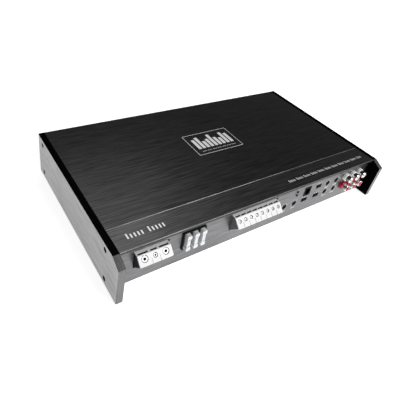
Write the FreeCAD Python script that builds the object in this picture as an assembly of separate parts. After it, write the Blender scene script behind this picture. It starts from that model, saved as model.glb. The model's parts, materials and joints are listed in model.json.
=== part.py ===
"""Four-channel car amplifier: an extruded heatsink shell between two end plates, connectors in front.

Millimetres. +X runs along the case to the right as seen from the connectors, which face -Y. +Z is up.
The origin is the centre of the rectangle that the case stands on.
"""

import FreeCAD, Part
import math
import os

V = FreeCAD.Vector
X_AXIS, Y_AXIS, Z_AXIS = V(1, 0, 0), V(0, 1, 0), V(0, 0, 1)

# ---- Case ----
LENGTH = 364.0
DEPTH = 209.5
HEIGHT = 50.8
PLATE_T = 6.6  # thickness of an end plate
PLATE_NOSE = 12.5  # how far an end plate stands in front of the top slab
PLATE_NOSE_Z = 44.4  # height of the plate's foremost corner
PLATE_TOE = 2.0  # how far the plate's front edge leans back at its foot
SLAB_T = 3.0
SLAB_DROP = 0.1  # the slab's top lies this far below the end plates' upper edges
REAR_T = 8.0  # rear wall of the heatsink, with its cooling grooves
GROOVE_Y, GROOVE_HALF = 28.8, 0.45  # decorative groove: place behind the slab's front edge, half width
FIN_GROOVES, FIN_FIRST_Z, FIN_PITCH, FIN_DEPTH = 6, 8.5, 6.6, 2.6  # cooling grooves in the rear wall
PANEL_SETBACK = 4.0
PANEL_T = 2.0
FLOOR_Z = 3.3  # underside of the bottom tray, lifted off the floor by the end plates
FLOOR_T = 1.7

INNER = LENGTH / 2 - PLATE_T
NOSE_Y = -DEPTH / 2
FACE_Y = NOSE_Y + PLATE_NOSE  # front edge of the top slab
PANEL_Y = FACE_Y + PANEL_SETBACK  # front face of the front panel
PANEL_BACK = PANEL_Y + PANEL_T
BACK_Y = DEPTH / 2
REAR_Y = BACK_Y - REAR_T  # inner face of the rear wall
SLAB_TOP = HEIGHT - SLAB_DROP
SLAB_Z = SLAB_TOP - SLAB_T

# ---- End-plate screws and the ports that they bite into ----
PORT_INSET = 14.5  # ports behind the slab's front edge, and in front of the back
PORT_TOP_Z = HEIGHT - 7.0
PORT_LOW_Z = 7.2
PORT_R, PORT_BORE_R = 3.0, 1.45
PLATE_HEAD_R, PLATE_HEAD_H, PLATE_SINK_R = 2.6, 3.0, 2.85
PORTS_Y = (FACE_Y + PORT_INSET, BACK_Y - PORT_INSET)
MOUNT_HOLE_R, MOUNT_HOLE_DEPTH, MOUNT_HALF_Y = 1.65, 10.0, 60.0  # tapped M4 holes, clear of the screws

# ---- Circuit boards ----
BOARD_Z, BOARD_T = 11.5, 1.6
BOARD_TOP = BOARD_Z + BOARD_T
BOARD_HALF_X = 168.0
STANDOFF_XY = [(x, y) for x in (-158.0, 0.0, 158.0) for y in (-52.0, 62.0)]
CONTROL_Y = PANEL_Y + 11.0
CONTROL_X = (21.5, 121.5)

# ---- Screw terminals: a wedge with a 45 degree upper face for screws and a lower one for wires ----
TILT = 45.0
TERMINAL_BACK = 16.0  # depth of a terminal housing behind the panel's front face
TERMINAL_BASE_SET = 4.0  # a housing's base on the circuit board, behind the panel's back
WINDOW_SIDE, WINDOW_TOP, WINDOW_LOW = 0.9, 2.6, 0.1  # air round a housing in the panel's window
MODULE_GAP = 0.02  # between two modules of the speaker terminals
SCREW_AIR = 0.4  # a clamp screw passes the plastic with this much air: its thread is in the metal
WELL_FLOOR = 0.05  # a screw's well in the plastic ends this far above the crown of the wire bore
DIVIDER_W, DIVIDER_DEPTH = 0.6, 0.5  # lines between positions, in the lower half of the screw face
CLAMP_WALL, CLAMP_THREAD = 1.0, 1.5
TIP_AIR = 0.1  # at rest a terminal is open: its screw's tip or foot clears the wire bore by this much
FOOT_T, FOOT_GAP = 0.8, 0.05
POWER = {
    "x": (-159.0, -124.9), "top_y": FACE_Y, "top_z": 38.4, "reach": 7.4, "screw_drop": 2.9,
    "widths": (12.9, 8.3, 12.9), "bore_r": (4.0, 2.3, 4.0), "screw_r": (2.9, 1.9, 2.9),
}
SPEAKER_PITCH = 7.62
SPEAKER = {
    "x": (-49.4, 12.6), "top_y": FACE_Y, "top_z": 39.1, "reach": 8.3, "screw_drop": 3.0,
    "widths": (SPEAKER_PITCH,) * 8, "bore_r": (2.2,) * 8, "screw_r": (1.6,) * 8,
}

# ---- Fuses ----
FUSE_X = (-105.1, -96.5, -87.9)
FUSE_Z = 30.9
FUSE_T, FUSE_W, FUSE_LEN = 5.1, 19.1, 11.0
FUSE_OUT = 6.0  # how far a fuse stands in front of the panel
FUSE_WEB_T, FUSE_WEB_W = 3.9, 16.0
GRIP_W, GRIP_L = 4.4, 4.8  # the thicker grips at the ends of a fuse's head
BLADE_T, BLADE_W, BLADE_Z, BLADE_LEN = 0.7, 5.2, 4.65, 7.5

# ---- Controls and sockets on the panel ----
LOW_Z, HIGH_Z = 21.6, 34.4
KNOBS = {
    "front_gain_knob": (29.2, LOW_Z),
    "front_crossover_knob": (45.2, LOW_Z),
    "rear_gain_knob": (98.6, LOW_Z),
    "rear_crossover_knob": (114.6, LOW_Z),
    "rear_highpass_knob": (98.6, HIGH_Z),
    "bass_boost_knob": (114.6, HIGH_Z),
}
KNOB_R, KNOB_CLEAR = 2.85, 0.05
SLIDERS = {
    "front_filter_slider": (62.2, LOW_Z - 0.3),
    "rear_filter_slider": (82.2, LOW_Z - 0.3),
    "input_mode_slider": (82.2, HIGH_Z + 0.6),
}
SWITCH_W, SWITCH_H = 9.6, 5.4
SLIDER_W, SLIDER_TRAVEL = 4.0, 2.0
LEDS_Z = (33.6, 38.2)
LED_X, LED_R = 45.4, 1.5
REMOTE_X, REMOTE_Z, REMOTE_W, REMOTE_H = 63.0, 33.8, 10.0, 12.4
PHONO_X = (133.0, 146.1, 159.2)
PHONO_RED_Z, PHONO_WHITE_Z = 20.6, 34.0
PHONO_OUT, PHONO_R, PHONO_COLLAR_R, PHONO_COLLAR_L = 9.0, 4.15, 5.2, 3.4
PHONO_ROOT_R, PHONO_STEP = 3.9, 0.1  # a barrel narrows to its root just in front of the collar


def box(x0, x1, y0, y1, z0, z1):
    return Part.makeBox(x1 - x0, y1 - y0, z1 - z0, V(x0, y0, z0))


def centred(x, z, width, height, y0, y1):
    """A block centred on x and z in front view, from y0 to y1."""
    return box(x - width / 2, x + width / 2, y0, y1, z - height / 2, z + height / 2)


def rod(x, z, radius, y0, y1):
    """A cylinder along Y."""
    return Part.makeCylinder(radius, y1 - y0, V(x, y0, z), Y_AXIS)


def post(x, y, radius, z0, z1):
    """A cylinder along Z."""
    return Part.makeCylinder(radius, z1 - z0, V(x, y, z0), Z_AXIS)


def bar(y, z, radius, x0, x1):
    """A cylinder along X."""
    return Part.makeCylinder(radius, x1 - x0, V(x0, y, z), X_AXIS)


def prism(outline, x0, x1):
    """The closed (y, z) outline, extruded along X."""
    points = [V(x0, y, z) for y, z in outline]
    return Part.Face(Part.makePolygon(points + points[:1])).extrude(V(x1 - x0, 0, 0))


def hexagon(radius, length):
    """A hexagonal prism on the origin, rising along +Z, with the given corner radius."""
    corners = [V(radius * math.cos(a), radius * math.sin(a), 0) for a in [math.pi / 3 * i for i in range(6)]]
    return Part.Face(Part.makePolygon(corners + corners[:1])).extrude(V(0, 0, length))


def joined(shapes):
    first, *rest = shapes
    return first.multiFuse(rest).removeSplitter() if rest else first


def without(shape, tools):
    return shape.cut(tools).removeSplitter()


def rounded(shape, radius, chosen):
    """Fillets the edges for which chosen(edge) is true."""
    return shape.makeFillet(radius, [e for e in shape.Edges if chosen(e)])


def bevelled(shape, size, chosen):
    """Chamfers the edges for which chosen(edge) is true."""
    return shape.makeChamfer(size, [e for e in shape.Edges if chosen(e)])


def along(edge, axis):
    """True for a straight edge parallel to the axis."""
    if len(edge.Vertexes) != 2:
        return False
    run = edge.Vertexes[1].Point - edge.Vertexes[0].Point
    return run.Length > 1e-6 and abs(run.dot(axis)) > 0.999 * run.Length


def export(name, *solids):
    """Writes one node: a single solid, or a group of separate ones."""
    shape = solids[0] if len(solids) == 1 else Part.makeCompound(list(solids))
    shape.exportStep(f"parts/{name}.step")


# ---- Case ----


def heatsink_shell():
    slab = box(-INNER, INNER, FACE_Y, BACK_Y, SLAB_Z, SLAB_TOP)
    slab = bevelled(slab, 0.4, lambda e: along(e, X_AXIS) and e.CenterOfMass.y < FACE_Y + 1)
    rear = box(-INNER, INNER, REAR_Y, BACK_Y, FLOOR_Z, SLAB_Z + 0.5)
    parts = [slab, rear]
    for y in PORTS_Y:
        parts.append(bar(y, PORT_TOP_Z, PORT_R, -INNER, INNER))
        parts.append(box(-INNER, INNER, y - 2, y + 2, PORT_TOP_Z, SLAB_Z + 0.5))
    cuts = [bar(y, PORT_TOP_Z, PORT_BORE_R, -INNER, INNER) for y in PORTS_Y]
    groove_y = FACE_Y + GROOVE_Y
    groove = [(groove_y - GROOVE_HALF, SLAB_TOP), (groove_y, SLAB_TOP - GROOVE_HALF)]
    groove += [(groove_y + GROOVE_HALF, SLAB_TOP), (groove_y, HEIGHT)]
    cuts.append(prism(groove, -INNER, INNER))
    for i in range(FIN_GROOVES):
        z = FIN_FIRST_Z + FIN_PITCH * i
        cuts.append(box(-INNER, INNER, BACK_Y - FIN_DEPTH, BACK_Y + 1, z, z + FIN_PITCH / 2))
    for x in transistor_screw_x():
        cuts.append(rod(x, TRANSISTOR_Z, 1.45, REAR_Y - 1, REAR_Y + 5.0))
    return without(joined(parts), cuts)


def bottom_tray():
    floor = box(-INNER, INNER, PANEL_BACK, REAR_Y, FLOOR_Z, FLOOR_Z + FLOOR_T)
    ports = [bar(y, PORT_LOW_Z, PORT_R, -INNER, INNER) for y in PORTS_Y]
    ports[1] = ports[1].cut(box(-INNER, INNER, REAR_Y, BACK_Y, 0, HEIGHT))
    bores = [bar(y, PORT_LOW_Z, PORT_BORE_R, -INNER, INNER) for y in PORTS_Y]
    return without(joined([floor] + ports), bores)


def end_plate(side):
    """side is -1 for the left plate and +1 for the right one."""
    outline = [
        (FACE_Y, HEIGHT), (BACK_Y, HEIGHT), (BACK_Y, 0), (NOSE_Y + PLATE_TOE, 0), (NOSE_Y, PLATE_NOSE_Z),
    ]
    outer, inner = side * LENGTH / 2, side * INNER
    plate = prism(outline, min(outer, inner), max(outer, inner))
    plate = bevelled(plate, 0.5, lambda e: abs(e.CenterOfMass.x - outer) < 0.01)
    cuts = [bar(NOSE_Y, PLATE_NOSE_Z, 0.5, -LENGTH, LENGTH)]
    for y in PORTS_Y:
        for z in (PORT_LOW_Z, PORT_TOP_Z):
            cuts.append(Part.makeCylinder(1.7, PLATE_T + 2, V(outer + side, y, z), V(-side, 0, 0)))
            cuts.append(Part.makeCylinder(PLATE_SINK_R, 4.3, V(outer + side, y, z), V(-side, 0, 0)))
    for y in (-MOUNT_HALF_Y, MOUNT_HALF_Y):
        cuts.append(post((outer + inner) / 2, y, MOUNT_HOLE_R, 0, MOUNT_HOLE_DEPTH))
    return without(plate, cuts)


def end_plate_screws():
    screws = []
    for side in (-1, 1):
        inward = V(-side, 0, 0)
        seat = side * (LENGTH / 2 - 3.3)
        for y in PORTS_Y:
            for z in (PORT_LOW_Z, PORT_TOP_Z):
                head = Part.makeCylinder(PLATE_HEAD_R, PLATE_HEAD_H, V(seat, y, z), V(side, 0, 0))
                shank = Part.makeCylinder(1.4, 14, V(seat, y, z), inward)
                socket = hexagon(1.45, 1.8)
                socket.Placement = FreeCAD.Placement(
                    V(seat + side * (PLATE_HEAD_H - 1.7), y, z), FreeCAD.Rotation(Z_AXIS, V(side, 0, 0))
                )
                screws.append(without(joined([head, shank]), [socket]))
    return screws


def front_panel():
    panel = box(-INNER, INNER, PANEL_Y, PANEL_BACK, FLOOR_Z, SLAB_Z)
    y0, y1 = PANEL_Y - 1, PANEL_BACK + 1
    cuts = [terminal_window(POWER), terminal_window(SPEAKER)]
    cuts.append(centred(FUSE_X[1], FUSE_Z, HOLDER_W + 0.2, HOLDER_H + 0.2, y0, y1))
    for x, z in KNOBS.values():
        cuts.append(rod(x, z, KNOB_R + 0.5, y0, y1))
    for x, z in SLIDERS.values():
        cuts.append(centred(x, z, SWITCH_W, SWITCH_H, y0, y1))
    for z in LEDS_Z:
        cuts.append(rod(LED_X, z, LED_R + 0.05, y0, y1))
    cuts.append(centred(REMOTE_X, REMOTE_Z, REMOTE_W + 0.2, REMOTE_H + 0.2, y0, y1))
    for x, z in phono_places():
        cuts.append(rod(x, z, PHONO_R + 0.05, y0, y1))
    return without(panel, cuts)


# ---- Inside: boards, supply and output stage ----

TRANSISTOR_W, TRANSISTOR_T, TRANSISTOR_H, TRANSISTOR_PITCH = 15.6, 5.0, 20.6, 24.0
TRANSISTOR_Z = 29.0
BANK_X = (-95.0, 95.0)
BANK_COUNT = 5


def transistor_x():
    return [c + TRANSISTOR_PITCH * (i - (BANK_COUNT - 1) / 2) for c in BANK_X for i in range(BANK_COUNT)]


def transistor_screw_x():
    """Each clamp bar is held by two screws, in the gaps beside its middle transistor."""
    return [c + side * TRANSISTOR_PITCH / 2 for c in BANK_X for side in (-1, 1)]


def power_transistors():
    pieces = []
    for x in transistor_x():
        z0 = TRANSISTOR_Z - TRANSISTOR_H / 2
        body = centred(x, TRANSISTOR_Z, TRANSISTOR_W, TRANSISTOR_H, REAR_Y - TRANSISTOR_T, REAR_Y)
        legs = [
            box(x + dx - 0.6, x + dx + 0.6, REAR_Y - 3.0, REAR_Y - 2.4, BOARD_TOP, z0 + 0.5)
            for dx in (-5.45, 0, 5.45)
        ]
        pieces.append(joined([body] + legs))
    return pieces


def transistor_clamp_bars():
    front = REAR_Y - TRANSISTOR_T
    half = TRANSISTOR_PITCH * (BANK_COUNT - 1) / 2 + TRANSISTOR_W / 2
    bars = []
    for c in BANK_X:
        holes = [rod(c + s * TRANSISTOR_PITCH / 2, TRANSISTOR_Z, 1.6, front - 4, front + 1) for s in (-1, 1)]
        plate = box(c - half, c + half, front - 3, front, TRANSISTOR_Z - 4.5, TRANSISTOR_Z + 4.5)
        bars.append(without(plate, holes))
    return bars


def inner_screws():
    """M3 pan-head screws: four in the clamp bars, and one in each standoff."""
    seat_y = REAR_Y - TRANSISTOR_T - 3
    screws = []
    for x in transistor_screw_x():
        head = rod(x, TRANSISTOR_Z, 2.8, seat_y - 2, seat_y)
        screws.append(joined([head, rod(x, TRANSISTOR_Z, 1.4, seat_y - 0.5, REAR_Y + 4.5)]))
    for x, y in STANDOFF_XY:
        head = post(x, y, 2.8, BOARD_TOP, BOARD_TOP + 2)
        screws.append(joined([head, post(x, y, 1.25, FLOOR_Z + FLOOR_T + 1, BOARD_TOP + 0.5)]))
    return screws


def circuit_board():
    board = box(-BOARD_HALF_X, BOARD_HALF_X, PANEL_BACK + 1, REAR_Y - 1, BOARD_Z, BOARD_TOP)
    return without(board, [post(x, y, 1.7, BOARD_Z - 1, BOARD_TOP + 1) for x, y in STANDOFF_XY])


def board_standoffs():
    base = FLOOR_Z + FLOOR_T
    posts = []
    for x, y in STANDOFF_XY:
        post_hex = hexagon(3.2, BOARD_Z - base).translated(V(x, y, base))
        posts.append(without(post_hex, [post(x, y, 1.3, base - 1, BOARD_Z + 1)]))
    return posts


def control_board():
    """A small upright board behind the panel, for the pots, switches, lamps and remote socket."""
    return box(*CONTROL_X, CONTROL_Y, CONTROL_Y + BOARD_T, BOARD_TOP, 40.5)


TOROID_XY = (-100.0, 18.0)
CORE_R, CORE_BORE_R, CORE_LOW_Z, CORE_TOP_Z = 24.0, 14.0, 17.0, 33.0
WINDING_AIR = 0.05  # insulation between the core and its windings


def ring(radius, bore, z0, z1):
    return post(*TOROID_XY, radius, z0, z1).cut(post(*TOROID_XY, bore, z0 - 1, z1 + 1))


def toroid_core():
    return ring(CORE_R, CORE_BORE_R, CORE_LOW_Z, CORE_TOP_Z)


def toroid_winding():
    """Two windings on the core, each over most of one half, with a bare gap between them."""
    air, x, y = WINDING_AIR, *TOROID_XY
    inside = ring(CORE_R + air, CORE_BORE_R - air, CORE_LOW_Z - air, CORE_TOP_Z + air)
    cover = ring(27.0, 11.0, BOARD_TOP, 36.5).cut(inside)
    cover = cover.cut(box(x - 4, x + 4, y - 30, y + 30, 0, HEIGHT))
    return cover.Solids


CAPACITOR_R, CAPACITOR_H = 9.0, 30.0
CAPACITOR_XY = [(-40 + 21 * i, 10 + 24 * j) for i in range(5) for j in range(2)]


def filter_capacitors():
    cans = []
    for x, y in CAPACITOR_XY:
        can = post(x, y, CAPACITOR_R, BOARD_TOP, BOARD_TOP + CAPACITOR_H)
        can = can.makeFillet(0.8, [can.Edges[0], can.Edges[2]])
        neck = Part.makeTorus(CAPACITOR_R + 0.5, 1.1, V(x, y, BOARD_TOP + 4.5), Z_AXIS)
        cans.append(can.cut(neck))
    return cans


# ---- Screw terminals ----


def terminal_axis(spec):
    """Where a terminal's screw axis crosses its wire axis, as (y, z), with its distance to the two faces.

    The upper face is y - top_y = z - top_z. The lower face is square to it, through the nose.
    """
    ty, tz, reach = spec["top_y"], spec["top_z"], spec["reach"]
    nose_y, nose_z = ty - reach, tz - reach
    low_run = PANEL_Y - nose_y
    wire_y, wire_z = nose_y + low_run / 2, nose_z - low_run / 2
    screw_y, screw_z = ty - spec["screw_drop"], tz - spec["screw_drop"]
    # On the screw axis y + z is constant; on the wire axis z - y is.
    total, gap = screw_y + screw_z, wire_z - wire_y
    y, z = (total - gap) / 2, (total + gap) / 2
    root2 = math.sqrt(2)
    return y, z, ((tz - ty) - gap) / root2, (total - (nose_y + nose_z)) / root2


def tilted(shape, x, spec):
    """Moves a shape from a terminal's own axes, where the screw is +Z and the wire leaves along -Y."""
    y, z, _, _ = terminal_axis(spec)
    shape = shape.copy()
    shape.Placement = FreeCAD.Placement(V(x, y, z), FreeCAD.Rotation(X_AXIS, TILT)) * shape.Placement
    return shape


def terminal_places(spec):
    """(x, bore radius, screw radius) of each position, left to right."""
    spare = spec["x"][1] - spec["x"][0] - sum(spec["widths"])
    edge = spec["x"][0] + spare / 2
    places = []
    for width, bore_r, screw_r in zip(spec["widths"], spec["bore_r"], spec["screw_r"]):
        places.append((edge + width / 2, bore_r, screw_r))
        edge += width
    return places


def terminal_edges(spec):
    """The x of each line between two positions."""
    return [place[0] + width / 2 for place, width in zip(terminal_places(spec), spec["widths"])][:-1]


def terminal_profile(spec):
    """The housing's side view: the wedge in front, and behind the panel a base that stands on the board."""
    ty, tz, reach = spec["top_y"], spec["top_z"], spec["reach"]
    low_z = tz - 2 * reach - (PANEL_Y - ty)
    base, back = PANEL_BACK + TERMINAL_BASE_SET, PANEL_Y + TERMINAL_BACK
    wedge = [(ty, tz), (ty - reach, tz - reach), (PANEL_Y, low_z), (base, low_z)]
    return wedge + [(base, BOARD_TOP), (back, BOARD_TOP), (back, tz)]


def terminal_window(spec):
    """The panel's cut-out, wider and higher than the housing, so that a dark gap shows round it."""
    x0, x1 = spec["x"]
    low_z = terminal_profile(spec)[3][1] - WINDOW_LOW
    return box(
        x0 - WINDOW_SIDE, x1 + WINDOW_SIDE, PANEL_Y - 1, PANEL_BACK + 1, low_z, spec["top_z"] + WINDOW_TOP
    )


def clamp_block(bore_r):
    """The space of one metal clamp in a terminal's own axes, with a thicker, threaded wall above its bore."""
    half = bore_r + CLAMP_WALL
    return box(-half, half, -2.0, 4.2, -half, bore_r + CLAMP_THREAD)


def terminal_clamps(spec):
    clamps = []
    for x, bore_r, screw_r in terminal_places(spec):
        bore = rod(0, 0, bore_r, -3, 6)
        thread = post(0, 0, screw_r + 0.05, 0, bore_r + 3)
        clamps.append(tilted(without(clamp_block(bore_r), [bore, thread]), x, spec))
    return clamps


def terminal_housing(spec):
    x0, x1 = spec["x"]
    _, _, face_up, face_low = terminal_axis(spec)
    top_y, top_z = spec["top_y"], spec["top_z"]
    nose_y, nose_z = top_y - spec["reach"], top_z - spec["reach"]
    body = prism(terminal_profile(spec), x0, x1)
    down = V(0, 1, -1).normalize()
    body = rounded(body, 1.6, lambda e: along(e, down) and e.CenterOfMass.y < PANEL_Y)
    body = rounded(body, 0.35, lambda e: along(e, X_AXIS) and e.CenterOfMass.y < top_y + 0.1)
    cuts = []
    for x, bore_r, screw_r in terminal_places(spec):
        half = bore_r + CLAMP_WALL
        cuts.append(tilted(clamp_block(bore_r), x, spec))
        cuts.append(tilted(rod(0, 0, bore_r, -face_low - 2, 6.0), x, spec))
        cuts.append(tilted(post(0, 0, screw_r + SCREW_AIR, bore_r + WELL_FLOOR, face_up + 3), x, spec))
        cuts.append(box(x - half, x + half, top_y + 0.9, PANEL_Y - 0.5, top_z - 1.5, top_z + 1))
    half = DIVIDER_W / 2
    line = box(-half, half, -face_low - 1, -face_low + 5.0, face_up - DIVIDER_DEPTH, face_up + 1)
    cuts += [tilted(line, x, spec) for x in terminal_edges(spec)]
    body = without(body, cuts)
    return body.Solids[0]


def terminal_modules(spec):
    """The same housing as interlocking modules, one to each position."""
    housing = terminal_housing(spec)
    x0, x1 = spec["x"]
    edges = [x0 - 1] + terminal_edges(spec) + [x1 + 1]
    front, back = spec["top_y"] - spec["reach"] - 1, PANEL_Y + TERMINAL_BACK + 1
    half = MODULE_GAP / 2
    return [
        housing.common(box(a + half, b - half, front, back, 0, HEIGHT)).Solids[0]
        for a, b in zip(edges, edges[1:])
    ]


def clamp_screw(spec, place, tip, sunk, slotted):
    """A screw from its tip, above the wire bore, to just below the upper face."""
    x, _, screw_r = place
    _, _, face_up, _ = terminal_axis(spec)
    top = face_up - sunk
    screw = post(0, 0, screw_r, tip, top)
    screw = bevelled(screw, 0.25, lambda e: e.CenterOfMass.z > top - 0.01 and not along(e, Z_AXIS))
    if slotted:
        recess = box(-screw_r - 1, screw_r + 1, -0.25, 0.25, top - 0.9, top + 1)
    else:
        recess = hexagon(screw_r * 0.55, 3).translated(V(0, 0, top - 1.5))
    return tilted(without(screw, [recess]), x, spec)


def pressure_foot(spec, place):
    """The loose round foot on a power screw's tip, which presses the wire without turning."""
    x, bore_r, screw_r = place
    foot = post(0, 0, screw_r * 0.72, bore_r + TIP_AIR, bore_r + TIP_AIR + FOOT_T)
    return tilted(foot, x, spec)


# ---- Fuses ----

HOLDER_W, HOLDER_H = FUSE_X[2] - FUSE_X[0] + FUSE_T + 4.2, FUSE_W + 3.0
HOLDER_OUT, HOLDER_BACK = 1.6, 15.5
FUSE_FRONT = PANEL_Y - FUSE_OUT
FUSE_BACK = FUSE_FRONT + FUSE_LEN


def fuse_blades(x):
    """Two blades joined by the thin fusible strip that is seen through the body."""
    y0, y1 = FUSE_FRONT + 2.0, FUSE_BACK + BLADE_LEN
    sides = [centred(x, FUSE_Z + s * BLADE_Z, BLADE_T, BLADE_W, y0, y1) for s in (-1, 1)]
    strip = centred(x, FUSE_Z, BLADE_T * 0.6, 2 * BLADE_Z, y0 + 2.0, y0 + 3.6)
    return joined(sides + [strip])


def fuse_body(x):
    """A flat body with a thicker grip at each end of its head."""
    web = centred(x, FUSE_Z, FUSE_WEB_T, FUSE_WEB_W, FUSE_FRONT + 0.3, FUSE_BACK)
    web = rounded(web, 0.4, lambda e: along(e, Z_AXIS) and e.CenterOfMass.y < FUSE_FRONT + 1)
    grip_z = (FUSE_W - GRIP_W) / 2
    y0, y1 = FUSE_FRONT, FUSE_FRONT + GRIP_L
    grips = [centred(x, FUSE_Z + s * grip_z, FUSE_T, GRIP_W, y0, y1) for s in (-1, 1)]
    grips = [rounded(g, 0.9, lambda e: along(e, Y_AXIS)) for g in grips]
    grips = [rounded(g, 0.35, lambda e: e.CenterOfMass.y < FUSE_FRONT + 0.01) for g in grips]
    dimples = [rod(x, FUSE_Z + s * 4.2, 0.8, FUSE_FRONT - 1, FUSE_FRONT + 1.1) for s in (-1, 1)]
    return without(joined([web] + grips), [fuse_blades(x)] + dimples)


def fuse_holder():
    """A collar round the fuses in the panel, and a lower block behind it for the contacts."""
    y0, y1 = PANEL_Y - HOLDER_OUT, PANEL_Y + HOLDER_BACK
    collar = centred(FUSE_X[1], FUSE_Z, HOLDER_W, HOLDER_H, y0, FUSE_BACK + 1.5)
    collar = rounded(collar, 1.2, lambda e: along(e, Y_AXIS))
    block = centred(FUSE_X[1], FUSE_Z, HOLDER_W - 2, 2 * BLADE_Z + BLADE_W + 3, FUSE_BACK + 1, y1)
    cuts = []
    for x in FUSE_X:
        cuts.append(centred(x, FUSE_Z, FUSE_T + 0.6, FUSE_W + 0.6, y0 - 1, FUSE_BACK + 0.4))
        for s in (-1, 1):
            cuts.append(centred(x, FUSE_Z + s * BLADE_Z, 3.4, BLADE_W + 0.8, FUSE_BACK, y1 - 1.5))
    return without(joined([collar, block]), cuts)


def fuse_holder_contacts():
    """A pair of spring leaves on each side of every blade, joined behind it."""
    y0, y1 = FUSE_BACK + 1.2, PANEL_Y + HOLDER_BACK - 1.5
    clips = []
    for x in FUSE_X:
        for s in (-1, 1):
            z = FUSE_Z + s * BLADE_Z
            clip = centred(x, z, 2.2, BLADE_W, y0, y1)
            clips.append(clip.cut(centred(x, z, BLADE_T + 0.12, BLADE_W + 1, y0 - 1, y1 - 0.6)))
    return clips


# ---- Controls, lamps and sockets ----

POT_W, POT_H = 9.6, 10.4
POT_FRONT = PANEL_BACK + 0.3
ROTOR_FRONT, ROTOR_BACK = PANEL_Y + 0.8, PANEL_Y + 7.0


def trim_pot_bodies():
    bodies = []
    for x, z in KNOBS.values():
        body = centred(x, z, POT_W, POT_H, POT_FRONT, CONTROL_Y)
        bodies.append(body.cut(rod(x, z, KNOB_R + KNOB_CLEAR, POT_FRONT - 1, ROTOR_BACK + 0.3)))
    return bodies


def trim_knob(x, z):
    knob = rod(x, z, KNOB_R, ROTOR_FRONT, ROTOR_BACK)
    knob = bevelled(knob, 0.3, lambda e: e.CenterOfMass.y < ROTOR_FRONT + 0.01 and not along(e, Y_AXIS))
    slot = centred(x, z, 0.9, 4.6, ROTOR_FRONT - 1, ROTOR_FRONT + 1.1)
    cross = centred(x, z, 4.6, 0.9, ROTOR_FRONT - 1, ROTOR_FRONT + 1.1)
    return without(knob, [slot, cross])


def slide_switch_bodies():
    bodies = []
    for x, z in SLIDERS.values():
        body = centred(x, z, SWITCH_W + 2.4, SWITCH_H + 1.6, PANEL_BACK + 0.2, CONTROL_Y)
        well = centred(x, z, SLIDER_W + 2 * SLIDER_TRAVEL + 0.8, 3.2, PANEL_BACK - 1, PANEL_BACK + 5.0)
        bodies.append(body.cut(well))
    return bodies


def slider(x, z):
    stem = centred(x, z, SLIDER_W, 2.6, PANEL_Y - 0.6, PANEL_BACK + 4.5)
    stem = bevelled(stem, 0.35, lambda e: e.CenterOfMass.y < PANEL_Y - 0.5)
    grips = [
        centred(x + dx, z, 0.5, 3.0, PANEL_Y - 1.6, PANEL_Y - 0.35) for dx in (-1.2, 0, 1.2)
    ]
    return without(stem, grips)


def status_leds():
    lamps = []
    for z in LEDS_Z:
        stem = rod(LED_X, z, LED_R, PANEL_Y - 0.2, CONTROL_Y)
        dome = Part.makeSphere(LED_R, V(LED_X, PANEL_Y - 0.2, z))
        lamps.append(joined([stem, dome]))
    return lamps


def remote_jack_housing():
    body = centred(REMOTE_X, REMOTE_Z, REMOTE_W, REMOTE_H, PANEL_Y - 0.5, CONTROL_Y)
    mouth = centred(REMOTE_X, REMOTE_Z + 0.6, REMOTE_W - 2.4, REMOTE_H - 4.4, PANEL_Y - 2, CONTROL_Y - 1.5)
    latch = centred(REMOTE_X, REMOTE_Z - 4.4, 3.6, 2.4, PANEL_Y - 2, CONTROL_Y - 4)
    return without(body, [mouth, latch])


def remote_jack_contacts():
    top = REMOTE_Z + 0.6 + (REMOTE_H - 4.4) / 2
    return [
        box(REMOTE_X + dx - 0.25, REMOTE_X + dx + 0.25, PANEL_Y + 2.5, CONTROL_Y - 1.5, top - 0.9, top)
        for dx in (-2.4, -0.8, 0.8, 2.4)
    ]


def phono_places():
    return [(x, z) for z in (PHONO_RED_Z, PHONO_WHITE_Z) for x in PHONO_X]


PHONO_TIP = PANEL_Y - PHONO_OUT
PHONO_SHOULDER = PANEL_Y - PHONO_COLLAR_L - PHONO_STEP
PHONO_BACK = PANEL_Y + 15.0
PHONO_BORE_R = 3.4
PIN_R, PIN_BORE_R = 1.7, 1.3


def phono_jack_housing():
    return box(PHONO_X[0] - 6.6, PHONO_X[2] + 6.6, PANEL_BACK, PHONO_BACK, BOARD_TOP, 40.4)


def phono_barrels():
    barrels = []
    for x, z in phono_places():
        tube = rod(x, z, PHONO_R, PHONO_TIP, PHONO_SHOULDER)
        tube = bevelled(tube, 0.35, lambda e: e.CenterOfMass.y < PHONO_TIP + 0.01 and not along(e, Y_AXIS))
        root = rod(x, z, PHONO_ROOT_R, PHONO_SHOULDER, PANEL_BACK)
        barrels.append(joined([tube, root]).cut(rod(x, z, PHONO_BORE_R, PHONO_TIP - 1, PANEL_BACK + 1)))
    return barrels


def phono_inserts(z):
    """The coloured plastic of one row: a collar round each barrel's root, and an insulator inside it."""
    pieces = []
    for x in PHONO_X:
        collar = rod(x, z, PHONO_COLLAR_R, PANEL_Y - PHONO_COLLAR_L, PANEL_Y)
        front = PANEL_Y - PHONO_COLLAR_L + 0.01
        collar = rounded(collar, 0.6, lambda e: e.CenterOfMass.y < front and not along(e, Y_AXIS))
        pieces.append(collar.cut(rod(x, z, PHONO_ROOT_R, PANEL_Y - PHONO_OUT, PANEL_Y + 1)))
        core = rod(x, z, PHONO_BORE_R, PHONO_TIP + 0.5, PANEL_BACK)
        pieces.append(core.cut(rod(x, z, PIN_R, PHONO_TIP, PANEL_BACK + 1)))
    return pieces


def phono_pins():
    pins = []
    for x, z in phono_places():
        sleeve = rod(x, z, PIN_R, PHONO_TIP + 1.2, PANEL_BACK)
        pins.append(sleeve.cut(rod(x, z, PIN_BORE_R, PHONO_TIP, PANEL_BACK - 1.0)))
    return pins


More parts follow.
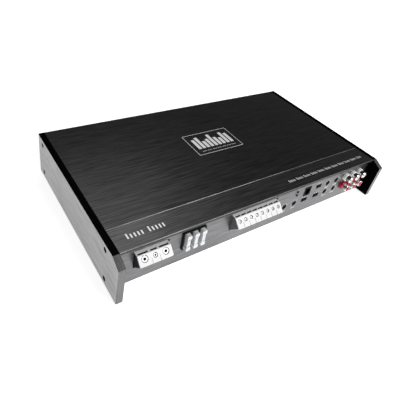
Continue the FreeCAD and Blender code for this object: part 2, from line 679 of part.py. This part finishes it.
def main():
    os.makedirs("parts", exist_ok=True)
    export("heatsink_shell", heatsink_shell())
    export("bottom_tray", bottom_tray())
    export("front_panel", front_panel())
    export("end_plate_left", end_plate(-1))
    export("end_plate_right", end_plate(1))
    export("end_plate_screws", *end_plate_screws())

    export("circuit_board", circuit_board())
    export("control_board", control_board())
    export("board_standoffs", *board_standoffs())
    export("inner_screws", *inner_screws())
    export("toroid_core", toroid_core())
    export("toroid_winding", *toroid_winding())
    export("filter_capacitors", *filter_capacitors())
    export("power_transistors", *power_transistors())
    export("transistor_clamp_bars", *transistor_clamp_bars())

    export("power_terminal_housing", terminal_housing(POWER))
    export("power_terminal_clamps", *terminal_clamps(POWER))
    for name, place in zip(("positive", "remote", "negative"), terminal_places(POWER)):
        tip = place[1] + TIP_AIR + FOOT_T + FOOT_GAP
        export(f"{name}_clamp_screw", clamp_screw(POWER, place, tip, 0.45, slotted=False))
        export(f"{name}_pressure_foot", pressure_foot(POWER, place))
    export("speaker_terminal_housing", *terminal_modules(SPEAKER))
    export("speaker_terminal_clamps", *terminal_clamps(SPEAKER))
    for number, place in enumerate(terminal_places(SPEAKER), 1):
        tip = place[1] + TIP_AIR
        export(f"speaker_screw_{number}", clamp_screw(SPEAKER, place, tip, 0.35, slotted=True))

    export("fuse_holder", fuse_holder())
    export("fuse_holder_contacts", *fuse_holder_contacts())
    for number, x in enumerate(FUSE_X, 1):
        export(f"fuse_{number}_body", fuse_body(x))
        export(f"fuse_{number}_blades", fuse_blades(x))

    export("trim_pot_bodies", *trim_pot_bodies())
    for name, (x, z) in KNOBS.items():
        export(name, trim_knob(x, z))
    export("slide_switch_bodies", *slide_switch_bodies())
    for name, (x, z) in SLIDERS.items():
        export(name, slider(x, z))
    export("status_leds", *status_leds())
    export("remote_jack_housing", remote_jack_housing())
    export("remote_jack_contacts", *remote_jack_contacts())
    export("phono_jack_housing", phono_jack_housing())
    export("phono_barrels", *phono_barrels())
    export("phono_inserts_white", *phono_inserts(PHONO_WHITE_Z))
    export("phono_inserts_red", *phono_inserts(PHONO_RED_Z))
    export("phono_pins", *phono_pins())


main()
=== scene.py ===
"""The car amplifier's looks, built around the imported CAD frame. Metres, in the row frame.

The connectors face -Y, +X runs to the right as seen from them, and +Z is up.
"""

import json
import math

import bmesh
import bpy
from mathutils import Matrix, Vector

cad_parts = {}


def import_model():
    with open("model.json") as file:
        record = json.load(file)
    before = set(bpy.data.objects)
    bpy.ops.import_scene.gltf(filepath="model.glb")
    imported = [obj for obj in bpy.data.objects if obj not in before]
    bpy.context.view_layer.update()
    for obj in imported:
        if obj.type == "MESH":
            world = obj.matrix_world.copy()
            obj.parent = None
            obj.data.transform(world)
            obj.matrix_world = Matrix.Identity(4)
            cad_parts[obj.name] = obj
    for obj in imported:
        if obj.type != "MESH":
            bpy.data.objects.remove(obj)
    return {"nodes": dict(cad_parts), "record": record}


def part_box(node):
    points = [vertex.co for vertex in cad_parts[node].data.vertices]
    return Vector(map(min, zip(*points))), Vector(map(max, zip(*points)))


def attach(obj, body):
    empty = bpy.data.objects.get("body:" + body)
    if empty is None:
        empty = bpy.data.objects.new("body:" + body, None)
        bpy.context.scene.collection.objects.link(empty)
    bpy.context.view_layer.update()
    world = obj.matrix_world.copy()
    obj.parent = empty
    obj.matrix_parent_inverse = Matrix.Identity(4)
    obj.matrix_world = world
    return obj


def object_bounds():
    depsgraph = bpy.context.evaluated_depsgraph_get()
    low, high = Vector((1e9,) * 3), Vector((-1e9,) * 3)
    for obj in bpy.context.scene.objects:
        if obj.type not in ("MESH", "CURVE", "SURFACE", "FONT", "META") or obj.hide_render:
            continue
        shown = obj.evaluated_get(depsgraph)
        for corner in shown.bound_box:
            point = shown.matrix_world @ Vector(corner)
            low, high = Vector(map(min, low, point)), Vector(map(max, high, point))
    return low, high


MM = 0.001

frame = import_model()
cad_low, cad_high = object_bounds()
nodes = frame["nodes"]

# ---- Places and sizes ----
SHELL_LOW, SHELL_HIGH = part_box("heatsink_shell")
TOP = SHELL_HIGH.z
FRONT_EDGE = SHELL_LOW.y
PANEL_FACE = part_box("front_panel")[0].y
PRINT_RISE = 0.04 * MM
LINER_THICKNESS = 0.3 * MM
STRIP_DEPTH = 28.8 * MM  # from the slab's front edge to its groove
POCKET_DEPTH = 1.5 * MM  # of the openings in the tops of the screw terminals

KNOBS = [
    "front_gain_knob", "front_crossover_knob", "rear_gain_knob",
    "rear_crossover_knob", "rear_highpass_knob", "bass_boost_knob",
]
SLIDERS = ["front_filter_slider", "rear_filter_slider", "input_mode_slider"]
POWER_SCREWS = ["positive_clamp_screw", "remote_clamp_screw", "negative_clamp_screw"]
SPEAKER_SCREWS = [f"speaker_screw_{i}" for i in range(1, 9)]


def middle(node):
    """The centre of a node's box."""
    low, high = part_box(node)
    return (low + high) / 2


# ---- Materials ----
# Greys and other colours are linear. Noise scales are per metre.

NOISE_SPAN = (0.3, 0.7)  # the values that plain noise mostly stays within
GRAIN_SPAN = (0.36, 0.64)  # the same for the mixed noise of brush lines
EVEN = (1.0, 1.0, 1.0)


def grey(value, tint=0.0):
    """A grey whose blue is stronger by the share in tint."""
    return (value, value, value * (1.0 + tint))


def new_material(name, metallic=0.0, roughness=0.5, **inputs):
    """A material with constants on its shader, as (material, node tree, shader)."""
    material = bpy.data.materials.new(name)
    material.use_nodes = True
    tree = material.node_tree
    shader = tree.nodes["Principled BSDF"]
    shader.inputs["Metallic"].default_value = metallic
    shader.inputs["Roughness"].default_value = roughness
    for socket, value in inputs.items():
        shader.inputs[socket.replace("_", " ")].default_value = value
    return material, tree, shader


def add_node(tree, kind, inputs, **settings):
    """A new node. An input that is given a socket is linked to it, and any other is set."""
    node = tree.nodes.new("ShaderNode" + kind)
    for setting, value in settings.items():
        setattr(node, setting, value)
    for socket, value in inputs.items():
        if isinstance(value, bpy.types.NodeSocket):
            tree.links.new(value, node.inputs[socket])
        else:
            node.inputs[socket].default_value = value
    return node


def computed(tree, operation, first, second):
    return add_node(tree, "Math", {0: first, 1: second}, operation=operation).outputs[0]


def noise(tree, stretch, scale, detail=4.0):
    """Noise over the object's own coordinates, stretched by a factor along each axis."""
    coords = add_node(tree, "TexCoord", {}).outputs["Object"]
    place = add_node(tree, "Mapping", {"Vector": coords, "Scale": stretch}).outputs["Vector"]
    inputs = {"Vector": place, "Scale": scale, "Detail": detail}
    return add_node(tree, "TexNoise", inputs).outputs["Fac"]


def ramp(tree, value, low, high, span=NOISE_SPAN):
    """A colour from low to high as value runs over the span."""
    node = add_node(tree, "ValToRGB", {"Fac": value})
    for element, place, colour in zip(node.color_ramp.elements, span, (low, high)):
        element.position = place
        element.color = (*colour, 1.0)
    return node.outputs["Color"]


def scaled(tree, value, low, high):
    """A number from low to high as value runs over the span of noise."""
    start, end = NOISE_SPAN
    inputs = {"Value": value, "From Min": start, "From Max": end, "To Min": low, "To Max": high}
    return add_node(tree, "MapRange", inputs).outputs["Result"]


def blended(tree, factor, first, second):
    """The first colour where the factor is 0, and the second where it is 1."""
    inputs = {"Factor": factor, "A": first, "B": second}
    return add_node(tree, "Mix", inputs, data_type="RGBA").outputs["Result"]


def bumped(tree, shader, height, strength, distance):
    """Gives the shader a relief that follows the height."""
    bump = add_node(tree, "Bump", {"Height": height, "Strength": strength, "Distance": distance})
    tree.links.new(bump.outputs["Normal"], shader.inputs["Normal"])


def along_axis(tree, output, axis):
    """One axis of the object's own coordinates ("Object") or of its surface direction ("Normal")."""
    coords = add_node(tree, "TexCoord", {}).outputs[output]
    return add_node(tree, "SeparateXYZ", {"Vector": coords}).outputs[axis]


def facing(tree, axis, sign, limit=0.8):
    """1 where the surface faces the signed object axis, otherwise 0."""
    towards = computed(tree, "MULTIPLY", along_axis(tree, "Normal", axis), sign)
    return computed(tree, "GREATER_THAN", towards, limit)


def in_front_of(tree, place):
    """1 where the object's own Y is below the place, otherwise 0."""
    return computed(tree, "LESS_THAN", along_axis(tree, "Object", "Y"), place)


def grain(tree, shader, axis, low, high, roughness):
    """Brush lines along an axis, as wide soft bands under fine hairlines. Returns the colour."""
    def lines(along, across, detail):
        return noise(tree, [along if name == axis else across for name in "XYZ"], 1.0, detail)

    bands, hairs = lines(24.0, 950.0, 5.0), lines(60.0, 2400.0, 2.0)
    value = add_node(tree, "Mix", {"Factor": 0.45, "A": bands, "B": hairs}).outputs["Result"]
    tree.links.new(scaled(tree, value, *roughness), shader.inputs["Roughness"])
    bumped(tree, shader, hairs, 0.25, 0.02 * MM)
    return ramp(tree, value, low, high, GRAIN_SPAN)


def brushed(name, axis, low, high, roughness, **inputs):
    """Metal or wire with brush lines along one axis."""
    material, tree, shader = new_material(name, **inputs)
    tree.links.new(grain(tree, shader, axis, low, high, roughness), shader.inputs["Base Color"])
    return material


def speckled(name, low, high, scale, roughness, bump=0.1, depth=0.02, **inputs):
    """Moulded or cast stuff: fine colour and gloss variation with a shallow texture, depth in mm."""
    material, tree, shader = new_material(name, **inputs)
    value = noise(tree, EVEN, scale)
    tree.links.new(ramp(tree, value, low, high), shader.inputs["Base Color"])
    tree.links.new(scaled(tree, value, *roughness), shader.inputs["Roughness"])
    bumped(tree, shader, value, bump, depth * MM)
    return material


def plate_material(name, side):
    """An end plate: its outer face and nose are bright brushed metal, the rest of it is black."""
    material, tree, shader = new_material(name, Specular_IOR_Level=0.0)
    light = grain(tree, shader, "Y", grey(0.11), grey(0.44), (0.3, 0.42))
    dark = ramp(tree, noise(tree, EVEN, 900.0), grey(0.001), grey(0.003))
    front = ramp(tree, noise(tree, (900.0, 30.0, 60.0), 1.0), grey(0.12), grey(0.2))
    outside, nose = facing(tree, "X", side), facing(tree, "Y", -1.0, 0.3)
    tree.links.new(computed(tree, "MAXIMUM", outside, nose), shader.inputs["Metallic"])
    shade = blended(tree, nose, dark, front)
    tree.links.new(blended(tree, outside, shade, light), shader.inputs["Base Color"])
    return material


def shell_material():
    """The heatsink shell: black, brushed along its length, lighter in front of its groove.

    Its small edges that face up and forward carry a painted highlight: a lighter grey in place of the
    light they catch.
    """
    material, tree, shader = new_material("shell_brushed", metallic=0.8, Specular_IOR_Level=0.15)
    black = grain(tree, shader, "X", grey(0.007), grey(0.05), (0.36, 0.5))
    strip = grain(tree, shader, "X", grey(0.014), grey(0.078), (0.36, 0.5))
    black = blended(tree, in_front_of(tree, FRONT_EDGE + STRIP_DEPTH), black, strip)
    # Painted highlight: chamfers facing up and forward get a lighter grey in place of the light they
    # reflect.
    painted_edge_highlight = ramp(tree, noise(tree, (40.0, 900.0, 900.0), 1.0), grey(0.05), grey(0.14))
    edge = computed(tree, "MULTIPLY", facing(tree, "Y", -1.0, 0.4), facing(tree, "Z", 1.0, 0.4))
    tree.links.new(blended(tree, edge, black, painted_edge_highlight), shader.inputs["Base Color"])
    return material


MATERIALS = {
    "anodised_aluminium": brushed(
        "black_brushed", "X", grey(0.010), grey(0.052), (0.36, 0.5), metallic=0.8, Specular_IOR_Level=0.15
    ),
    "panel_aluminium": brushed(
        "panel_brushed", "X", grey(0.10, 0.03), grey(0.23, 0.03), (0.3, 0.42), metallic=0.9
    ),
    "black_steel": speckled(
        "black_oxide", grey(0.001), grey(0.003), 2500.0, (0.5, 0.65), Specular_IOR_Level=0.05
    ),
    "bright_steel": speckled("zinc", grey(0.5), grey(0.68), 1400.0, (0.24, 0.4), metallic=1.0),
    "nickel": speckled(
        "nickel_plate", (0.6, 0.59, 0.57), (0.78, 0.77, 0.74), 1800.0, (0.12, 0.26), metallic=1.0
    ),
    "white_plastic": speckled("white_moulded", grey(0.7), grey(0.81), 700.0, (0.32, 0.44), bump=0.05),
    "black_plastic": speckled(
        "black_moulded", grey(0.002), grey(0.005), 2200.0, (0.45, 0.62), Specular_IOR_Level=0.1
    ),
    "knob_plastic": speckled(
        "knob_moulded", grey(0.002), grey(0.007), 2600.0, (0.4, 0.55), Specular_IOR_Level=0.1
    ),
    "clear_plastic": speckled(
        "clear_fuse", (0.86, 0.88, 0.9), (0.95, 0.96, 0.97), 500.0, (0.08, 0.2), bump=0.03,
        Transmission_Weight=0.3,
    ),
    "fuse_metal": speckled("tinned_zinc", grey(0.55), grey(0.72), 1600.0, (0.22, 0.38), metallic=1.0),
    "jack_white": speckled("jack_white_moulded", grey(0.78), grey(0.9), 900.0, (0.28, 0.4), bump=0.05),
    "jack_red": speckled(
        "jack_red_moulded", (0.46, 0.01, 0.035), (0.62, 0.02, 0.06), 900.0, (0.28, 0.4), bump=0.05
    ),
    "contact_metal": speckled(
        "gold_plate", (0.7, 0.48, 0.18), (0.85, 0.62, 0.28), 1500.0, (0.2, 0.32), metallic=1.0
    ),
    "green_board": speckled("solder_mask", (0.01, 0.1, 0.04), (0.02, 0.17, 0.07), 260.0, (0.3, 0.45)),
    "ferrite": speckled("sintered_core", grey(0.05), grey(0.1), 1900.0, (0.6, 0.8), bump=0.3),
    "enamelled_copper": brushed(
        "wound_copper", "Z", (0.32, 0.1, 0.03), (0.62, 0.25, 0.09), (0.25, 0.4), metallic=0.9
    ),
    "capacitor_sleeve": speckled(
        "shrink_sleeve", (0.02, 0.03, 0.06), (0.04, 0.055, 0.1), 500.0, (0.3, 0.42)
    ),
    "lamp_lens": speckled("smoked_lens", grey(0.012), grey(0.03), 800.0, (0.12, 0.22)),
}
SCREW_STEEL = speckled("screw_steel", grey(0.14), grey(0.26), 1600.0, (0.25, 0.4), metallic=1.0)
# Painted shade: colours for thin plates on the terminals' ends, deep on the power block and lighter on
# the speaker block.
DEEP_SHADE_PLATE = speckled(
    "painted_deep_shade", grey(0.012), grey(0.03), 1200.0, (0.4, 0.55), Specular_IOR_Level=0.3
)
SOFT_SHADE_PLATE = speckled("painted_soft_shade", grey(0.09), grey(0.16), 1200.0, (0.4, 0.55), Specular_IOR_Level=0.3)
INK = speckled("white_ink", grey(0.74), grey(0.86), 1500.0, (0.5, 0.65), bump=0.05)
# Painted shade: dark sheets laid in recesses in place of the shade inside them.
SHADOW_LINER = speckled(
    "painted_shade_liner", grey(0.001), grey(0.004), 1800.0, (0.6, 0.75), Specular_IOR_Level=0.1
)
FLOOR = speckled(
    "studio_paper", grey(0.88), grey(0.92), 3.0, (0.85, 0.95), bump=0.0,
    Emission_Color=(1.0, 1.0, 1.0, 1.0), Emission_Strength=0.82,
)

# Every node gets the material of its slot, and then a few get their own.
for part in frame["record"]["subparts"]:
    slots = nodes[part["node"]].data.materials
    slots.clear()
    slots.append(MATERIALS[part["material_slot"]])
for node, side in (("end_plate_left", -1.0), ("end_plate_right", 1.0)):
    nodes[node].data.materials[0] = plate_material(node + "_brushed", side)
nodes["heatsink_shell"].data.materials[0] = shell_material()
for node in POWER_SCREWS + SPEAKER_SCREWS:
    nodes[node].data.materials[0] = SCREW_STEEL


# ---- Thin plates: prints and liners ----


def on_top(x, y, rise):
    """A print's point on the top slab, rise above it."""
    return Vector((x, y, TOP + rise))


def on_panel(x, z, rise):
    """A print's point on the front panel, rise in front of it."""
    return Vector((x, PANEL_FACE - rise, z))


def rounded_outline(centre, size, radius, turn=0.0, steps=4):
    """Corner points of a rounded rectangle, turned about its centre."""
    half_w, half_h = size[0] / 2 - radius, size[1] / 2 - radius
    points = []
    for corner, (sx, sy) in enumerate(((1, 1), (-1, 1), (-1, -1), (1, -1))):
        for i in range(steps + 1):
            a = math.pi / 2 * (corner + i / steps)
            u = sx * half_w + radius * math.cos(a)
            v = sy * half_h + radius * math.sin(a)
            points.append((
                centre[0] + u * math.cos(turn) - v * math.sin(turn),
                centre[1] + u * math.sin(turn) + v * math.cos(turn),
            ))
    return points


def add_plate(bm, outline, place, rise, hole=None):
    """Adds a thin plate with the outline, or a ring if it has a hole with as many points."""
    def loop(points, height):
        return [bm.verts.new(place(u, v, height)) for u, v in points]

    def skirt(low, high):
        count = len(low)
        for i in range(count):
            j = (i + 1) % count
            bm.faces.new((low[i], low[j], high[j], high[i]))

    low, high = loop(outline, 0.0), loop(outline, rise)
    skirt(low, high)
    if hole is None:
        bm.faces.new(high)
        bm.faces.new(low[::-1])
        return
    hole_low, hole_high = loop(hole, 0.0), loop(hole, rise)
    skirt(hole_high, hole_low)
    skirt(high, hole_high)
    skirt(hole_low, low)


def piece(name, bm, material, body="case"):
    """Makes the mesh a named object of a body, with its material."""
    bmesh.ops.recalc_face_normals(bm, faces=bm.faces)
    mesh = bpy.data.meshes.new(name)
    bm.to_mesh(mesh)
    bm.free()
    obj = bpy.data.objects.new(name, mesh)
    bpy.context.scene.collection.objects.link(obj)
    mesh.materials.append(material)
    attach(obj, body)
    return obj


def tick_row(name, start, end, y, height, width, group=5):
    """A printed scale on the top: groups of upright ticks, the first of each at full height."""
    bm = bmesh.new()
    pitch = 2.4 * width
    for i in range(int((end - start) / pitch) + 1):
        in_group = i % (group + 1)
        if in_group == group:
            continue
        tall = height if in_group == 0 else height * 0.76
        spot = (start + i * pitch, y - (height - tall) / 2)
        add_plate(bm, rounded_outline(spot, (width, tall), 0.2 * width), on_top, PRINT_RISE)
    piece(name, bm, INK)


def spectrum_motif():
    """A framed row of level bars over a scale, in the middle of the top: a made-up sign for sound."""
    centre, size = (0.5 * MM, 20.5 * MM), (65 * MM, 41 * MM)
    line, corner = 0.6 * MM, 1.2 * MM
    bars, pitch, width, foot = 9, 6.0 * MM, 4.2 * MM, 11.0 * MM
    bm = bmesh.new()
    outer = rounded_outline(centre, size, corner)
    inner = rounded_outline(centre, (size[0] - 2 * line, size[1] - 2 * line), corner - line)
    add_plate(bm, outer, on_top, PRINT_RISE, inner)
    for i in range(bars):
        offset = i - (bars - 1) / 2
        height = (18.0 + 6.0 * math.cos(offset * 1.9)) * MM
        spot = (centre[0] + offset * pitch, foot + height / 2)
        add_plate(bm, rounded_outline(spot, (width, height), 0.5 * MM), on_top, PRINT_RISE)
    piece("top_spectrum_motif", bm, INK)
    tick_row("motif_scale", centre[0] - 24 * MM, centre[0] + 24 * MM, 6.0 * MM, 1.8 * MM, 0.5 * MM)


def dial_marks():
    """Ticks round each trim control with a bar under it, and three short bars over each switch."""
    ticks, sweep, ring = 11, 280, 4.9 * MM
    bm = bmesh.new()

    def mark(x, z, size, corner, turn=0.0):
        add_plate(bm, rounded_outline((x, z), size, corner, turn), on_panel, PRINT_RISE)

    for node in KNOBS:
        at = middle(node)
        for i in range(ticks):
            a = math.radians(i * sweep / (ticks - 1) - sweep / 2)
            x, z = at.x + ring * math.sin(a), at.z + ring * math.cos(a)
            mark(x, z, (0.35 * MM, 1.0 * MM), 0.1 * MM, -a)
        mark(at.x, at.z - 6.4 * MM, (6.5 * MM, 0.7 * MM), 0.2 * MM)
    for node in SLIDERS:
        at = middle(node)
        for dx in (-3.6 * MM, 0.0, 3.6 * MM):
            mark(at.x + dx, at.z + 4.2 * MM, (1.8 * MM, 0.6 * MM), 0.2 * MM)
    piece("panel_dial_marks", bm, INK)


def pocket_liners(name, housing, screws, widths):
    """Dark sheets on the floors of the openings on top of a screw terminal: painted shade for the shade
    inside them.
    """
    floor_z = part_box(housing)[1].z - POCKET_DEPTH
    lift, gap, corner = 0.02 * MM, 0.2 * MM, 0.2 * MM
    front, back = FRONT_EDGE + 1.0 * MM, PANEL_FACE - 0.6 * MM

    def in_pocket(x, y, rise):
        return Vector((x, y, floor_z + lift + rise))

    bm = bmesh.new()
    for node, width in zip(screws, widths):
        centre = (middle(node).x, (front + back) / 2)
        outline = rounded_outline(centre, (width - gap, back - front), corner)
        add_plate(bm, outline, in_pocket, LINER_THICKNESS)
    piece(name, bm, SHADOW_LINER)


def end_shade_plates(name, housing, material):
    """A thin plate on each end of a screw terminal, with the housing's wedge shape; its colour is painted
    shade, standing in for the shade on the terminal's ends.
    """
    low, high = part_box(housing)
    inset, slope_inset = 0.5 * MM, 0.7 * MM
    back, brow = PANEL_FACE + 1.5 * MM, FRONT_EDGE + 0.2 * MM
    top_z = high.z - inset
    nose_z = high.z - (FRONT_EDGE - low.y)
    foot_z = nose_z - (PANEL_FACE - low.y) + slope_inset
    outline = [
        (back, top_z), (brow, top_z), (low.y + slope_inset, nose_z), (PANEL_FACE, foot_z), (back, foot_z),
    ]
    bm = bmesh.new()
    for x, outward in ((low.x, -1.0), (high.x, 1.0)):
        def on_end(y, z, rise):
            return Vector((x + outward * rise, y, z))

        add_plate(bm, outline, on_end, LINER_THICKNESS)
    piece(name, bm, material)


def recess_liner(node):
    """A dark sheet on the floor of a clamp screw's hexagon socket: painted shade for the shade inside it.
    It turns with the screw.
    """
    low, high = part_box(node)
    aim = Vector((0.0, -1.0, 1.0)).normalized()
    side = Vector((0.0, 1.0, 1.0)).normalized()
    depth, thickness = 1.45 * MM, 0.4 * MM
    radius = (high.x - low.x) / 2
    # The screw is a cylinder tilted by 45 degrees, so its box gives its length.
    length = 2 * ((high - low).y / 2 * math.sqrt(2) - radius)
    top = (low + high) / 2 + aim * length / 2

    def in_socket(u, v, rise):
        return top + Vector((u, 0.0, 0.0)) + side * v - aim * (depth - rise)

    across = 0.52 * radius
    corners = [math.pi / 3 * i for i in range(6)]
    outline = [(across * math.cos(a), across * math.sin(a)) for a in corners]
    bm = bmesh.new()
    add_plate(bm, outline, in_socket, thickness)
    body = node.replace("_clamp_screw", "_screw")
    piece(node + "_socket_floor", bm, SHADOW_LINER, body)


spectrum_motif()
tick_row("left_scale", -162 * MM, -124.5 * MM, -77.4 * MM, 6.4 * MM, 1.5 * MM)
tick_row("right_scale", 35 * MM, 165.5 * MM, -79.8 * MM, 3.8 * MM, 0.85 * MM)
dial_marks()
POWER_POCKETS = (10.0 * MM, 6.6 * MM, 10.0 * MM)
SPEAKER_POCKETS = (6.4 * MM,) * len(SPEAKER_SCREWS)
pocket_liners("power_pocket_liners", "power_terminal_housing", POWER_SCREWS, POWER_POCKETS)
pocket_liners("speaker_pocket_liners", "speaker_terminal_housing", SPEAKER_SCREWS, SPEAKER_POCKETS)
# Painted shade on the terminals' ends, deeper on the power block than on the speaker block.
end_shade_plates("power_end_shade_plates", "power_terminal_housing", DEEP_SHADE_PLATE)
end_shade_plates("speaker_end_shade_plates", "speaker_terminal_housing", SOFT_SHADE_PLATE)
for node in POWER_SCREWS:
    recess_liner(node)


# ---- Studio ----


FLOOR_HALF = 6.0  # metres
FLOOR_GAP = 0.05 * MM  # under the case
CAMERA_PLACE = (-0.28796, -0.30164, 0.31846)
CAMERA_AHEAD = (0.53803, 0.63902, -0.54971)
CAMERA_UP = (0.2069, 0.53208, 0.82103)
WORLD_STRENGTH = 0.19


def studio_floor():
    """A wide pale sheet that the case stands on."""
    bm = bmesh.new()
    bmesh.ops.create_grid(bm, x_segments=1, y_segments=1, size=FLOOR_HALF)
    mesh = bpy.data.meshes.new("studio_floor")
    bm.to_mesh(mesh)
    bm.free()
    floor = bpy.data.objects.new("studio_floor", mesh)
    floor.location.z = cad_low.z - FLOOR_GAP
    bpy.context.scene.collection.objects.link(floor)
    mesh.materials.append(FLOOR)


def area_light(name, location, aim, size, watts, spread=180.0):
    """A soft light; spread is the full angle of its beam in degrees."""
    data = bpy.data.lights.new(name, "AREA")
    data.shape = "RECTANGLE"
    data.size, data.size_y = size
    data.energy = watts
    data.spread = math.radians(spread)
    light = bpy.data.objects.new(name, data)
    light.location = location
    light.rotation_mode = "QUATERNION"
    light.rotation_quaternion = (Vector(aim) - Vector(location)).to_track_quat("-Z", "Y")
    bpy.context.scene.collection.objects.link(light)


def camera():
    """Looks down on the connectors from the left, turned a little on its own axis."""
    ahead = Vector(CAMERA_AHEAD).normalized()
    right = ahead.cross(Vector(CAMERA_UP)).normalized()
    up = right.cross(ahead)
    data = bpy.data.cameras.new("camera")
    data.lens, data.sensor_width = 37.448, 36.0
    data.shift_y = -0.125
    data.clip_start = 0.01
    obj = bpy.data.objects.new("camera", data)
    turn = Matrix((right, up, -ahead)).transposed().to_4x4()
    obj.matrix_world = Matrix.Translation(CAMERA_PLACE) @ turn
    bpy.context.scene.collection.objects.link(obj)
    bpy.context.scene.camera = obj


def world():
    """An even dim light from all round."""
    sky = bpy.data.worlds.new("studio")
    sky.use_nodes = True
    background = sky.node_tree.nodes["Background"]
    background.inputs["Color"].default_value = (1.0, 1.0, 1.0, 1.0)
    background.inputs["Strength"].default_value = WORLD_STRENGTH
    bpy.context.scene.world = sky


studio_floor()
area_light("key", (0.85, -1.5, 1.35), (-0.04, -0.05, 0.02), (1.0, 0.7), 36.0)
area_light("sheen", (0.02, 0.36, 0.62), (-0.17, -0.13, 0.05), (0.3, 0.2), 0.1, spread=34.0)
camera()
world()
bpy.context.scene.view_settings.view_transform = "Standard"
